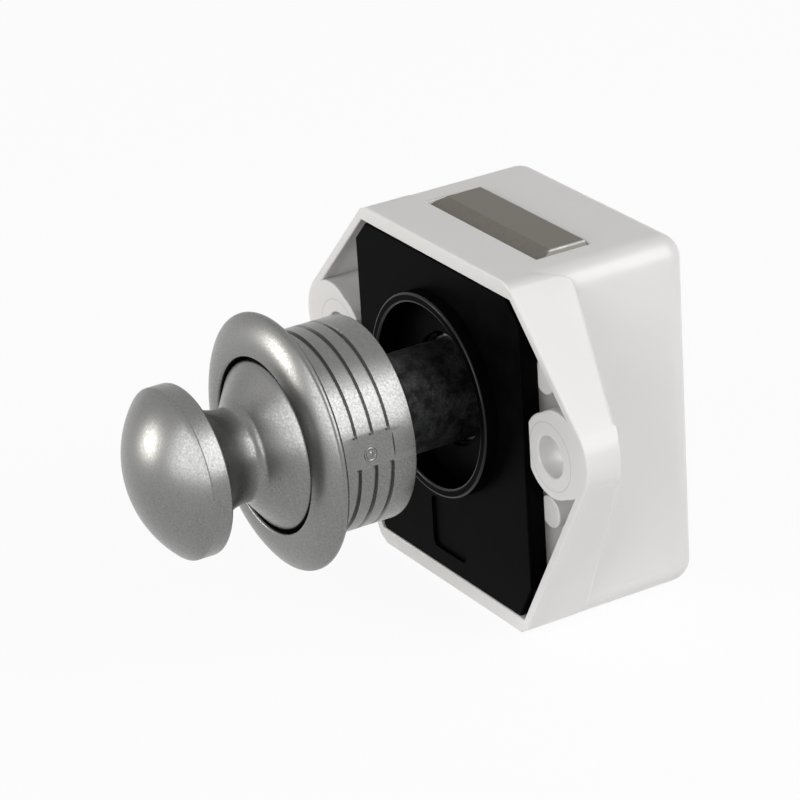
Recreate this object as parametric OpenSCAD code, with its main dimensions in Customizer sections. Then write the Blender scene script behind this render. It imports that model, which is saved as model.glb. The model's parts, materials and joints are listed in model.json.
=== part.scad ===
// Push button cabinet lock for caravan and boat furniture. All sizes are in millimetres.
// It is drawn open: the knob stands out and the bolt is down in its slot.
// +X is right for someone in front of the door, +Y runs into the lock body, and +Z is up, the way
// the bolt comes out. The origin is on the spindle's axis, in the plane that meets the door's back.

/* [Door and rosette] */
// Thickness of the door panel that the rosette is set for
door_t = 22.9; // [20:0.1:28]
// Outer diameter of the rosette's barrel, which fills the hole in the door
barrel_d = 26; // [24:0.5:30]
// Length of the barrel behind the flange
barrel_l = 11.45; // [11.3:0.05:16]
// Outer diameter of the flange
flange_d = 32.7; // [31:0.1:38]
// Height of the flange from its flat back to its front lip
flange_h = 2.6; // [2.3:0.1:4]
// How far the flange's face bulges
flange_bow = 0.45; // [0.2:0.05:0.6]
// Wall of the barrel
barrel_wall = 1.8; // [1.2:0.1:2.2]
// Thickness of the web that rides on the spindle
web_t = 1.5; // [1:0.1:2.5]
// Number of friction grooves round the barrel
groove_n = 3; // [2:1:4]
// Distance from the flange's back to the first groove
groove_first = 3.2; // [1:0.1:4]
// Width of a friction groove
groove_w = 0.5; // [0.3:0.05:0.8]
// Depth of a friction groove
groove_h = 0.4; // [0.2:0.05:0.6]
// Distance from one groove to the next
groove_pitch = 2.3; // [1.5:0.05:2.6]
// Width of the flat gate pad that breaks the grooves
pad_w = 4.2; // [3:0.1:7]
// Turn of the gate pad above the right side, in degrees
pad_turn = 8; // [0:1:20]

/* [Knob] */
// Diameter of the head
head_d = 21.6; // [18:0.1:24]
// Width of the head's straight band
head_band = 2.7; // [1.5:0.1:4]
// Height of the head's dome
dome_h = 4.8; // [3:0.1:7]
// Diameter of the neck at its thinnest
neck_d = 11.9; // [10.5:0.1:13]
// Distance from the back of the head to the thinnest place
waist_l = 5.95; // [5:0.05:7]
// How much the radius grows from the thinnest place to the head
waist_w = 4.6; // [3.5:0.1:4.8]
// Distance from the back of the head to the front edge of the skirt
neck_l = 10.5; // [9.5:0.1:13]
// Straight band at the foot of the skirt
skirt_band = 1.0; // [0.6:0.1:1.6]
// How far the skirt's edge lies inside the rosette's mouth
skirt_set = 0.3; // [0.1:0.1:1.5]
// Thickness of the skirt
skirt_wall = 1.2; // [0.9:0.1:1.5]
// Distance that the knob is pushed in
push = 8; // [6:0.1:8.2]
// Rise of the bolt for each millimetre of push
lift_ratio = 0.7; // [0.5:0.05:0.75]

/* [Spindle] */
// Outer diameter of the spindle tube
spindle_d = 13; // [12.4:0.1:13.2]
// Wall of the spindle tube
spindle_wall = 1.6; // [1.3:0.1:1.9]
// Length of the spindle's solid front end
spindle_nose = 8; // [6:0.5:12]
// Diameter of the threaded stud between the spindle and the knob
stud_d = 5; // [4:0.5:5.5]
// Outer diameter of the brass insert in the knob
insert_d = 7.2; // [6.8:0.1:7.6]
// Length of that insert
insert_l = 8.5; // [7:0.1:9]
// Diameter of the cross pin that holds the carriage on the spindle
cross_pin_d = 2; // [1.5:0.1:2.4]

/* [Lock body] */
// Width of the box behind the ears
body_w = 36.2; // [35.4:0.1:38]
// Height of the body above the spindle's axis
body_up = 19.95; // [19:0.05:22]
// Depth of the body below the spindle's axis
body_down = 27.2; // [26:0.1:32]
// Depth of the body from the door's back
body_depth = 25.7; // [25.2:0.1:32]
// Side walls of the box
side_wall = 1.2; // [1:0.1:1.6]
// Top and bottom walls of the box
cap_wall = 2.1; // [1.6:0.1:2.6]
// Rear wall of the box
rear_wall = 1.5; // [1:0.1:2]
// Radius of the outer edges and corners of the box
edge_r = 3.1; // [1.5:0.1:4]
// Height of the guide rails' lower ends above the box's floor
rail_rise = 6; // [4:0.5:8]
// Distance of the guide rails' upper ends from the box's ceiling
rail_drop = 4; // [3:0.5:6]
// Wall of the guide rails
rail_w = 1.2; // [0.9:0.1:1.3]

/* [Ears] */
// Distance between the two screw holes
hole_spacing = 49.2; // [48:0.1:51]
// Diameter of a screw hole
screw_d = 5.3; // [4:0.1:5.6]
// Diameter of the recess for a screw's head, in the rear of the ear
head_recess_d = 8.8; // [7:0.1:9.2]
// Thickness under a screw's head
screw_seat = 3; // [2:0.1:3.6]
// Diameter of a screw boss
boss_d = 11; // [10.4:0.1:12]
// Distance from the middle to the flat side of a boss
boss_flat_x = 20; // [19.4:0.1:20.4]
// Half width of the rim along its top edge
rim_top_x = 16.8; // [15:0.1:17.5]
// Half width of the rim along its bottom edge
rim_bottom_x = 16.9; // [15:0.1:17.5]
// Where the two slanting sides would meet, out from the middle
ear_x = 34.1; // [33.6:0.1:37]
// Where the two slanting sides would meet, above the axis
ear_z = 1.7; // [0:0.1:3]
// Radius of the ear's tip
ear_tip_r = 6.2; // [5:0.1:7]
// Wall round the ears
rim_wall = 1.2; // [0.9:0.1:1.6]
// Thickness of an ear where it leaves the box
ear_root_t = 8.9; // [7:0.1:11]
// Thickness of an ear at its tip
ear_tip_t = 4.5; // [4.5:0.1:7]
// Diameter of the posts that the base plate lies on
post_d = 4.2; // [3:0.1:4.6]
// Distance of a post from the middle
post_x = 20; // [19:0.1:20.6]
// Height of the upper posts above the axis
post_up = 8; // [7.8:0.1:9]
// Depth of the lower posts below the axis
post_down = 9.8; // [8:0.1:11]

/* [Base plate] */
// Width of the base plate
plate_w = 37.6; // [36.8:0.1:38]
// Thickness of the base plate
plate_t = 2.5; // [2:0.1:2.8]
// Gap between the base plate and the slanting rim
plate_gap = 0.8; // [0.3:0.1:1.2]
// Outer diameter of the collar round the spindle
collar_d = 26.6; // [25:0.1:28]
// Wall of the collar
collar_wall = 1.3; // [0.9:0.1:2]
// Height of the collar
collar_h = 2; // [1:0.1:3]
// Thickness of the floor in the collar's cup
cup_floor = 1.3; // [1:0.1:1.6]
// Width of the notch over the spindle hole
notch_w = 5.6; // [3:0.1:7]
// Height of that notch above the hole's edge
notch_h = 0.7; // [0.3:0.1:1.5]
// Width of the bare recess under the collar
field_w = 7.7; // [4:0.1:12]
// Height of the bare recess under the collar
field_h = 7.2; // [4:0.1:8]

/* [Latch bolt] */
// Width of the bolt
bolt_w = 24.9; // [24.3:0.1:25.6]
// Thickness of the bolt
bolt_t = 7.5; // [7:0.1:8]
// Distance of the bolt's middle from the door's back
bolt_y = 10.95; // [10.6:0.05:11.3]
// How far the bolt stands out of its slot when it is drawn in
bolt_proud = 0.3; // [0:0.1:1]
// Depth of the bevel on the bolt's front edge
bevel = 2.4; // [1:0.1:3.5]
// Rise of that bevel
bevel_rise = 1.0; // [0.5:0.1:2]
// Small chamfer at the ends of the bolt
end_chamfer = 0.7; // [0.3:0.1:1.2]
// Length of the bolt's legs below the axis
leg_down = 12; // [11:0.5:13]

/* [Carriage and heart cam] */
// Width of the carriage
carriage_w = 16; // [15.6:0.1:16.2]
// Length of the carriage
carriage_l = 11.2; // [11:0.1:11.6]
// Height of the carriage above the axis
carriage_up = 9; // [8.6:0.1:9.2]
// Depth of the carriage below the axis
carriage_down = 9.6; // [9.2:0.1:10]
// Height of the ramp ribs
rib_h = 2.5; // [2:0.1:3]
// Reach of the ramp ribs beyond the carriage's sides
rib_reach = 2.3; // [1.8:0.1:2.5]
// Depth of the heart-shaped groove
heart_depth = 1.5; // [1:0.1:1.7]
// Diameter of the wire that follows the groove
wire_d = 1.2; // [0.9:0.1:1.3]
// Swing of the wire's tip to one side
wire_swing = 2.6; // [2.2:0.1:3]
// Length of the wire from its pivot to its tip
wire_l = 10.2; // [9.8:0.1:10.4]
// Depth of the hole that the wire's foot turns in
foot_depth = 5; // [4:0.5:6]

/* [Springs] */
// Wire diameter of the return spring
return_wire = 0.9; // [0.7:0.05:1]
// Mean diameter of the return spring
return_d = 8.6; // [8.2:0.1:8.8]
// Number of turns in the return spring
return_turns = 6; // [4:1:7]
// Wire diameter of a bolt spring
bolt_wire = 0.5; // [0.4:0.05:0.6]
// Number of turns in a bolt spring
bolt_turns = 10; // [6:1:12]

/* [Clearances] */
// Gap round a part that slides
slide_gap = 0.3; // [0.2:0.05:0.4]
// Gap round a shaft or pin that turns
turn_gap = 0.05; // [0.03:0.01:0.1]
// Gap round the bolt in its slot
slot_gap = 0.15; // [0.1:0.05:0.25]

/* [Hidden] */
$fn = 96;
eps = 0.01;
far = 100;

// Places along the spindle's axis
flange_back = -door_t;
mouth_y = flange_back - flange_h;
barrel_end = flange_back + barrel_l;
skirt_front = mouth_y + skirt_set;
skirt_back = skirt_front + skirt_band;
head_back = skirt_front - neck_l;
dome_base = head_back - head_band;
apex_y = dome_base - dome_h;
web_front = skirt_back + push + slide_gap;
carriage_front = plate_t + slide_gap;
carriage_back = carriage_front + carriage_l;
pin_y = carriage_front + 2.2;
socket_y = carriage_front + 4.2;
spindle_back = socket_y - turn_gap;
spring_seat_y = socket_y + 1.2;
cavity_y = skirt_front - 1.9;
spindle_front = cavity_y + slide_gap;
nose_end = spindle_front + spindle_nose;
insert_front = cavity_y - insert_l;
rear_in = body_depth - rear_wall;

// Radii
barrel_r = barrel_d / 2;
flange_r = flange_d / 2;
mouth_r = barrel_r - barrel_wall;
skirt_r = mouth_r - 0.5;
head_r = head_d / 2;
neck_r = neck_d / 2;
spindle_r = spindle_d / 2;
tube_r = spindle_r - spindle_wall;
socket_r = spindle_r + turn_gap;
collar_r = collar_d / 2;
wire_r = wire_d / 2;
guide_post_r = return_d / 2 - return_wire / 2 - 1.0;
guide_post_y = pin_y + push + cross_pin_d / 2 + 2 * slide_gap;

// The bolt and its slot
bolt_front = bolt_y - bolt_t / 2;
bolt_rear = bolt_y + bolt_t / 2;
bolt_top = body_up + bolt_proud;
bar_bottom = carriage_up + slide_gap + 0.1;
leg_in = carriage_w / 2 + slide_gap;
leg_out = bolt_w / 2;
channel_x = carriage_w / 2 + rib_reach + slide_gap;
ramp_z = 1.0;
lift = push * lift_ratio;
rib_front = carriage_front + 0.5;
rib_back = bolt_rear - (bolt_t - 4.4);
spring_x = (leg_in + leg_out) / 2;
bolt_spring_d = leg_out - leg_in - bolt_wire - 2 * slot_gap;
floor_z = -(body_down - cap_wall);
ceiling_z = body_up - cap_wall;
rail_x = leg_out + slot_gap;
rail_bottom = floor_z + rail_rise;
rail_top = ceiling_z - rail_drop;
side_in = body_w / 2 - side_wall;

// The follower under the carriage
swing_angle = asin(wire_swing / wire_l);
groove_half = wire_r + 0.25;
wire_z = -(carriage_down + wire_r + 0.8);
pivot_y = rear_in - 1.6;
clip_top = wire_z - wire_r - slide_gap;
clip_t = 0.3;
ledge_top = clip_top - clip_t - turn_gap;
ledge_w = 5.2;

// The rim's two slanting sides
rim_t = [rim_top_x, body_up];
rim_b = [rim_bottom_x, -body_down];
rim_e = [ear_x, ear_z];
function unit(v) = v / norm(v);
function cross2(a, b) = a[0] * b[1] - a[1] * b[0];
function meet(p, u, q, v) = p + u * cross2(q - p, v) / cross2(u, v);
up_dir = unit(rim_e - rim_t);
low_dir = unit(rim_e - rim_b);
up_in = [up_dir[1], -up_dir[0]];
low_in = [-low_dir[1], low_dir[0]];
tip_half = acos(unit(rim_t - rim_e) * unit(rim_b - rim_e)) / 2;
tip_centre = rim_e + unit(unit(rim_t - rim_e) + unit(rim_b - rim_e)) * ear_tip_r / sin(tip_half);

function arc(cx, cy, r, a0, a1, n) =
    [for (i = [0:n]) let (a = a0 + (a1 - a0) * i / n) [cx + r * cos(a), cy + r * sin(a)]];
function both(side) = side == "left" ? -1 : 1;

// Extrudes an outline drawn in X and Z from y0 to y1
module along_y(y0, y1) {
    translate([0, y1, 0]) rotate([90, 0, 0]) linear_extrude(y1 - y0) children();
}

// Extrudes an outline drawn in Y and Z from x0 to x1
module along_x(x0, x1) {
    translate([x0, 0, 0]) rotate([90, 0, 90]) linear_extrude(x1 - x0) children();
}

// A round bar along Y
module rod_y(r, y0, y1, x = 0, z = 0) {
    translate([x, y1, z]) rotate([90, 0, 0]) cylinder(r = r, h = y1 - y0);
}

// Turns an outline of [radius, y] points about the spindle's axis
module turned(points) {
    rotate([-90, 0, 0]) rotate_extrude() polygon(points);
}

// A block from one corner to the other
module block(low, high) {
    translate(low) cube(high - low);
}

// Draws its children on both sides of the middle
module pair() {
    children();
    mirror([1, 0, 0]) children();
}

// A rectangle with round corners
module soft_rect(low, high, r) {
    translate([low[0] + r, low[1]]) square([high[0] - low[0] - 2 * r, high[1] - low[1]]);
    translate([low[0], low[1] + r]) square([high[0] - low[0], high[1] - low[1] - 2 * r]);
    for (x = [low[0] + r, high[0] - r], z = [low[1] + r, high[1] - r]) translate([x, z]) circle(r);
}

// The rim's outline taken in by a wall on its slanting sides, cut level at top and bottom
module rim_shape(wall, top, bottom) {
    p_up = rim_t + up_in * wall;
    p_low = rim_b + low_in * wall;
    corner = meet(p_up, up_dir, p_low, low_dir);
    reach = (ear_tip_r - wall) / tan(tip_half);
    for (s = [-1, 1]) scale([s, 1]) {
        polygon([[0, top], meet(p_up, up_dir, [0, top], [1, 0]), corner - up_dir * reach, tip_centre,
            corner - low_dir * reach, meet(p_low, low_dir, [0, bottom], [1, 0]), [0, bottom]]);
        translate(tip_centre) circle(ear_tip_r - wall);
    }
}

// Seen from above, the ears end on two slanting planes, and the rim's corners run out into the box's edges
module ear_wedge(inset) {
    slope = (ear_root_t - ear_tip_t) / (tip_centre[0] + ear_tip_r - body_w / 2);
    edge = far / 2;
    root = body_w / 2;
    fade = root - edge_r - slide_gap;
    end = max(eps, ear_root_t - inset - slope * (edge - root));
    half = [[edge, -eps], [edge, end], [root, ear_root_t - inset], [fade, plate_t]];
    translate([0, 0, -far]) linear_extrude(2 * far)
        polygon(concat(half, [for (i = [3:-1:0]) [-half[i][0], half[i][1]]]));
}

// The closed box behind the rim, with all its outer edges and rear corners rounded
module box_form() {
    x = body_w / 2 - edge_r;
    y = body_depth - edge_r;
    low = edge_r - body_down;
    high = body_up - edge_r;
    along_y(0, y) soft_rect([-body_w / 2, -body_down], [body_w / 2, body_up], edge_r);
    block([-x, y - eps, low], [x, body_depth, high]);
    for (z = [low, high]) translate([-x, y, z]) rotate([0, 90, 0]) cylinder(r = edge_r, h = 2 * x);
    for (s = [-1, 1]) translate([s * x, y, low]) cylinder(r = edge_r, h = high - low);
    for (s = [-1, 1], z = [low, high]) translate([s * x, y, z]) sphere(r = edge_r);
}

// The two ears and the flat rim that lies against the door
module ear_form() {
    intersection() {
        along_y(0, body_depth / 2) rim_shape(0, body_up, -body_down);
        ear_wedge(0);
    }
}

// The open space inside the rim, in front of and beside the box
module ear_pockets() {
    intersection() {
        along_y(-eps, body_depth / 2) rim_shape(rim_wall, ceiling_z, floor_z);
        union() {
            block([-far, -1, -far], [far, plate_t, far]);
            difference() {
                ear_wedge(rim_wall);
                block([-body_w / 2, -1, -far], [body_w / 2, far, far]);
            }
        }
    }
}

// A screw boss, which runs into the rim at the ear's tip
module screw_boss() {
    intersection() {
        union() {
            rod_y(boss_d / 2, 0, ear_root_t, hole_spacing / 2);
            rod_y(ear_tip_r - rim_wall / 2, 0, ear_root_t, tip_centre[0], tip_centre[1]);
        }
        block([boss_flat_x, 0, -far], [far, far, far]);
        ear_wedge(0);
    }
}

// The posts beside the base plate, whose front ends carry it
module plate_posts() {
    intersection() {
        for (z = [post_up, -post_down]) rod_y(post_d / 2, plate_t, ear_root_t, post_x, z);
        ear_wedge(0);
        along_y(0, body_depth / 2) rim_shape(0, body_up, -body_down);
    }
}

// Rails that hold a leg of the bolt at its side and behind it
module leg_rail() {
    block([rail_x, bolt_front - rail_w, rail_bottom], [rail_x + rail_w, rear_in + eps, rail_top]);
    block([channel_x + slide_gap, bolt_rear + slot_gap, rail_bottom],
        [rail_x + rail_w, rear_in + eps, rail_top]);
    block([rail_x + rail_w - eps, bolt_rear, -1], [side_in + eps, rear_in + eps, 1]);
}

// The peg that a bolt spring stands on
module spring_peg(z0, z1) {
    translate([spring_x, bolt_y, z0]) cylinder(r = bolt_spring_d / 2 - bolt_wire / 2 - 0.3, h = z1 - z0);
}

// Hollows in the top and bottom walls that the base plate's hooks snap into
module hook_hollows() {
    for (z = [ceiling_z, floor_z - 0.9]) pair()
        block([rail_x + rail_w + 0.4, plate_t + 2.6, z], [side_in - 0.2, plate_t + 5.2, z + 0.9]);
}

// The moulded cover, with its ears, screw bosses, slot and the seats of the mechanism
module cover() color("whitesmoke") {
    difference() {
        union() {
            difference() {
                union() {
                    box_form();
                    ear_form();
                }
                block([-side_in, plate_t - eps, floor_z], [side_in, rear_in, ceiling_z]);
                ear_pockets();
            }
            pair() screw_boss();
            pair() plate_posts();
            pair() leg_rail();
            pair() spring_peg(floor_z - eps, floor_z + 2);
            rod_y(guide_post_r, guide_post_y, rear_in + eps);
            block([-ledge_w / 2, pivot_y - 2, ledge_top - foot_depth - 0.5], [ledge_w / 2, rear_in + eps, ledge_top]);
        }
        pair() {
            rod_y(screw_d / 2, -1, far, hole_spacing / 2);
            rod_y(head_recess_d / 2, screw_seat, far, hole_spacing / 2);
        }
        block([-leg_out - slot_gap, bolt_front - slot_gap, ceiling_z - 1],
            [leg_out + slot_gap, bolt_rear + slot_gap, far]);
        translate([0, pivot_y, ledge_top - foot_depth]) cylinder(r = wire_r + turn_gap, h = 2 * foot_depth);
        hook_hollows();
    }
}

// A snap hook behind the base plate
module plate_hook(up) {
    root = up > 0 ? ceiling_z - 0.35 : -floor_z - 0.35;
    x0 = rail_x + rail_w + 0.6;
    x1 = side_in - 0.4;
    scale([1, 1, up]) along_x(x0, x1)
        polygon([[plate_t - eps, root - 1.2], [plate_t - eps, root], [plate_t + 2.8, root],
            [plate_t + 2.8, root + 1.0], [plate_t + 5, root], [plate_t + 5, root - 1.2]]);
}

// The black plate that closes the cover, with the collar that sits in the door hole
module base_plate() color([0.09, 0.09, 0.1]) {
    hole_r = spindle_r + slide_gap;
    floor_front = plate_t - cup_floor;
    difference() {
        union() {
            intersection() {
                along_y(0, plate_t) rim_shape(rim_wall + plate_gap, ceiling_z - slot_gap,
                    floor_z + slot_gap);
                block([-plate_w / 2, -1, -far], [plate_w / 2, far, far]);
            }
            rod_y(collar_r, -collar_h, plate_t);
            pair() block([channel_x + slot_gap, plate_t - eps, rail_bottom],
                [leg_out, bolt_front - slot_gap, rail_top]);
            pair() plate_hook(1);
            pair() plate_hook(-1);
        }
        rod_y(collar_r - collar_wall, -collar_h - 1, floor_front);
        rod_y(hole_r, -1, far);
        rod_y(hole_r + 0.5, -1, floor_front + 0.5);
        intersection() {
            rod_y(hole_r + notch_h, -1, plate_t + 1);
            block([-notch_w / 2, -1, 0], [notch_w / 2, plate_t + 1, collar_r]);
        }
        along_y(-1, 0.4) soft_rect([-field_w / 2, -collar_r - 2.1 - field_h], [field_w / 2, -collar_r - 2.1], 1);
    }
}

// The fork-shaped bolt: a bar that comes out of the slot, and two legs with ramps inside
module latch_bolt() color([0.42, 0.42, 0.39]) {
    intersection() {
        difference() {
            block([-leg_out, bolt_front, -leg_down], [leg_out, bolt_rear, bolt_top]);
            block([-leg_in, -far, -far], [leg_in, far, bar_bottom]);
            pair() along_x(leg_in - 1, channel_x) polygon([
                [bolt_front - 1, ramp_top(bolt_front - 1)], [bolt_rear + 1, ramp_top(bolt_rear + 1)],
                [bolt_rear + 1, bar_bottom], [bolt_front - 1, bar_bottom]]);
        }
        along_x(-far, far) polygon([[bolt_front, -far], [bolt_rear, -far], [bolt_rear, bolt_top],
            [bolt_front + bevel, bolt_top], [bolt_front, bolt_top - bevel_rise]]);
        along_y(-far, far) polygon([[-leg_out, -far], [leg_out, -far], [leg_out, bolt_top - end_chamfer],
            [leg_out - end_chamfer, bolt_top], [end_chamfer - leg_out, bolt_top],
            [-leg_out, bolt_top - end_chamfer]]);
    }
    pair() spring_peg(-leg_down - 2, -leg_down + eps);
}

// Height of the bolt's ramp at a distance from the door, while the bolt is down
function ramp_top(y) = ramp_z - turn_gap - lift_ratio * (y - bolt_y);
function rib_low(y) = ramp_z - lift_ratio * (y - bolt_y);

// Path of the wire's tip in the carriage, at a distance of push
function tip_at(s) = let (a = swing_angle * s / push) [wire_l * sin(a), pivot_y - wire_l * cos(a) - s];
heart_steps = 8;
function tip_side(off) = [for (i = [0:heart_steps]) let (s = push * i / heart_steps,
    d = unit(tip_at(s + 0.1) - tip_at(s))) tip_at(s) + off * [d[1], -d[0]]];

// The heart-shaped groove seen from below: an open field round an island with a notch in its front
module heart_groove() {
    outer = tip_side(-groove_half);
    inner = tip_side(groove_half);
    start = tip_at(0);
    end = tip_at(push);
    front = end[1] - groove_half;
    crest = [for (p = inner) if (p[0] > 0.25 && p[1] > end[1] + groove_half * 0.8) p];
    top = crest[len(crest) - 1];
    difference() {
        union() {
            for (s = [-1, 1]) scale([s, 1]) polygon(concat([start],
                outer, [[outer[heart_steps][0], front], [0, front]]));
            translate(start) circle(groove_half + 0.05);
        }
        polygon(concat([[0, crest[0][1] + 0.7]], crest, [[0, top[1] + 1.1]],
            [for (i = [len(crest) - 1:-1:0]) [-crest[i][0], crest[i][1]]]));
    }
}

// The carriage on the spindle's end: ramp ribs at its sides and the heart groove below
module carriage() color([0.85, 0.85, 0.82]) {
    difference() {
        union() {
            block([-carriage_w / 2, carriage_front, -carriage_down],
                [carriage_w / 2, carriage_back, carriage_up]);
            pair() along_x(carriage_w / 2 - eps, carriage_w / 2 + rib_reach) polygon([
                [rib_front, rib_low(rib_front)], [rib_back, rib_low(rib_back)],
                [rib_back, rib_low(rib_back) + rib_h], [rib_front, rib_low(rib_front) + rib_h]]);
        }
        rod_y(socket_r, carriage_front - 1, socket_y);
        rod_y(guide_post_r + 0.4, -far, far);
        rod_y(return_d / 2 + return_wire / 2 + 0.4, spring_seat_y, far);
        translate([-far, pin_y, 0]) rotate([0, 90, 0])
            cylinder(r = cross_pin_d / 2 + turn_gap, h = 2 * far);
        translate([0, 0, -carriage_down - 1]) linear_extrude(heart_depth + 1) heart_groove();
    }
}

// The tube from the knob to the carriage, with a solid nose that takes the stud
module spindle() color([0.25, 0.25, 0.26]) {
    difference() {
        rod_y(spindle_r, spindle_front, spindle_back);
        rod_y(tube_r, nose_end, spindle_back + 1);
        rod_y(stud_d / 2 + turn_gap, spindle_front - 1, nose_end + 1);
        translate([-far, pin_y, 0]) rotate([0, 90, 0])
            cylinder(r = cross_pin_d / 2 + turn_gap, h = 2 * far);
    }
}

// The cross pin through the carriage and the spindle
module spindle_pin() color("silver") {
    half = carriage_w / 2 - 0.1;
    translate([-half, pin_y, 0]) rotate([0, 90, 0]) cylinder(r = cross_pin_d / 2, h = 2 * half);
}

// The bent wire that swings in the cover and follows the heart groove
module follower_pin() color("silver") {
    tip_y = pivot_y - wire_l;
    tip_top = -(carriage_down - heart_depth) - slide_gap;
    foot_z = ledge_top - foot_depth + slide_gap;
    translate([0, tip_y, wire_z]) cylinder(r = wire_r, h = tip_top - wire_z);
    rod_y(wire_r, tip_y, pivot_y, 0, wire_z);
    translate([0, pivot_y, foot_z]) cylinder(r = wire_r, h = wire_z - foot_z);
    for (y = [tip_y, pivot_y]) translate([0, y, wire_z]) sphere(r = wire_r);
}

// The leaf of spring steel that keeps the wire up in its groove
module follower_clip() color("lightsteelblue") {
    clip_w = ledge_w - 0.8;
    front = pivot_y - wire_l + 1.2;
    difference() {
        along_x(-clip_w / 2, clip_w / 2) polygon([[front, clip_top + 0.15], [front + 1.2, clip_top],
            [rear_in - 0.2, clip_top], [rear_in - 0.2, clip_top - clip_t],
            [front + 1.2, clip_top - clip_t], [front, clip_top + 0.15 - clip_t]]);
        translate([0, pivot_y, -far]) cylinder(r = wire_r + slide_gap, h = 2 * far);
    }
}

// A helical wire of round section from z = 0 to z = h, as one closed tube
module coil(mean_d, wire, h, turns) {
    sides = 6;
    rings = turns * 8;
    rise = (h - wire) / rings;
    lean = atan2(rise * 8, PI * mean_d);
    points = [for (i = [0:rings], j = [0:sides - 1]) let (a = i * 45, b = j * 360 / sides,
        u = wire / 2 * cos(b), v = wire / 2 * sin(b))
        [(mean_d / 2 + u) * cos(a) + v * sin(lean) * sin(a), (mean_d / 2 + u) * sin(a) - v * sin(lean) * cos(a),
            wire / 2 + i * rise + v * cos(lean)]];
    faces = concat([[for (j = [0:sides - 1]) j]],
        [for (i = [0:rings - 1], j = [0:sides - 1]) let (k = (j + 1) % sides, a = i * sides, b = a + sides)
            [a + j, b + j, b + k]],
        [for (i = [0:rings - 1], j = [0:sides - 1]) let (k = (j + 1) % sides, a = i * sides, b = a + sides)
            [a + j, b + k, a + k]],
        [[for (j = [sides - 1:-1:0]) rings * sides + j]]);
    polyhedron(points = points, faces = faces, convexity = 10);
    echo(str("Least gap between turns: ", rise * 8 * cos(lean) - wire));
}

// The spring that pushes the knob out
module return_spring() color("gainsboro") {
    translate([0, rear_in - slot_gap, 0]) rotate([90, 0, 0])
        coil(return_d, return_wire, rear_in - spring_seat_y - 2 * slot_gap, return_turns);
}

// A spring that lifts one leg of the bolt
module bolt_spring(side) color("gainsboro") {
    translate([both(side) * spring_x, bolt_y, floor_z + slot_gap])
        coil(bolt_spring_d, bolt_wire, -leg_down - floor_z - 2 * slot_gap, bolt_turns);
}

// The knob: a domed head, a waist, and a skirt that flares to the rosette's mouth
module knob() color([0.66, 0.67, 0.68]) {
    dome_r = (pow(head_r, 2) + pow(dome_h, 2)) / (2 * dome_h);
    dome_a = asin(head_r / dome_r);
    edge = 0.35;
    waist_y = head_back + waist_l;
    flare_r = 1.6;
    cone_a = 53;
    waist = [for (i = [0:9]) let (a = 80 - 8 * i)
        [neck_r + waist_w * (1 - cos(a)), waist_y - waist_l * sin(a)]];
    cavity_r = spindle_r + slide_gap;
    difference() {
        turned(concat(
            arc(0, apex_y + dome_r, dome_r, -90, -90 + dome_a * 0.985, 14),
            arc(head_r - edge, dome_base + edge * 0.5, edge, -30, 0, 2),
            arc(head_r - edge, head_back - edge, edge, 0, 90, 4),
            waist,
            arc(neck_r + flare_r, waist_y, flare_r, 180, 180 - cone_a, 5),
            [[skirt_r, skirt_front], [skirt_r, skirt_back], [skirt_r - skirt_wall, skirt_back],
                [skirt_r - skirt_wall, skirt_front + 0.4], [cavity_r, cavity_y], [0, cavity_y]]));
        rod_y(insert_d / 2 + turn_gap, insert_front - 0.3, far);
    }
}

// The brass insert moulded into the knob
module knob_insert() color("goldenrod") {
    difference() {
        rod_y(insert_d / 2, insert_front, cavity_y);
        rod_y(stud_d / 2 + turn_gap, -far, far);
    }
}

// The threaded stud that joins the knob to the spindle
module knob_stud() color("silver") {
    rod_y(stud_d / 2, insert_front + 0.3, nose_end - 0.3);
}

// Points on an arc from a to b that bulges to the left of the way from a to b
function bowed(a, b, bow, n) = let (c = norm(b - a), r = c * c / (8 * bow) + bow / 2, d = (b - a) / c,
    centre = (a + b) / 2 + (r - bow) * [d[1], -d[0]], half = asin(c / (2 * r)), mid = atan2(d[0], -d[1]))
    [for (i = [0:n]) let (t = mid + half - 2 * half * i / n) centre + r * [cos(t), sin(t)]];

// The rosette: a domed flange and a grooved barrel, with a web that rides on the spindle
module rosette() color([0.66, 0.67, 0.68]) {
    edge = 0.6;
    lip = 0.3;
    groove_run = 0.15;
    rim_end = [flange_r - edge + edge * cos(45), flange_back - edge - edge * sin(45)];
    first = flange_back + groove_first;
    difference() {
        turned(concat(
            [[mouth_r, barrel_end], [barrel_r - 0.3, barrel_end], [barrel_r, barrel_end - 0.3],
                [barrel_r, flange_back]],
            arc(flange_r - edge, flange_back - edge, edge, 90, -30, 6),
            bowed(rim_end, [mouth_r + lip, mouth_y], flange_bow, 10),
            [[mouth_r, mouth_y + lip]]));
        difference() {
            for (i = [0:groove_n - 1]) translate([0, first + i * groove_pitch, 0])
                turned([[barrel_r - groove_h, -groove_w / 2], [barrel_r + 1, -groove_w / 2],
                    [barrel_r + 1, groove_w / 2], [barrel_r - groove_h, groove_w / 2]]);
            rotate([0, -pad_turn, 0]) block([0, -far, groove_run - pad_w / 2],
                [far, far, pad_w / 2 - groove_run]);
        }
        flat_x = sqrt(pow(barrel_r, 2) - pow(pad_w / 2, 2));
        rotate([0, -pad_turn, 0]) block([flat_x, first - groove_w / 2 - groove_run, -barrel_r],
            [far, first + (groove_n - 1) * groove_pitch + groove_w / 2 + groove_run, barrel_r]);
    }
    turned([[spindle_r + slide_gap, web_front], [mouth_r + eps, web_front],
        [mouth_r + eps, web_front + web_t], [spindle_r + slide_gap, web_front + web_t]]);
}

cover();
base_plate();
latch_bolt();
bolt_spring("left");  // bolt_spring_left
bolt_spring("right");  // bolt_spring_right
carriage();
return_spring();
spindle();
spindle_pin();
follower_pin();
follower_clip();
knob();
knob_insert();
knob_stud();
rosette();
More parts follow.
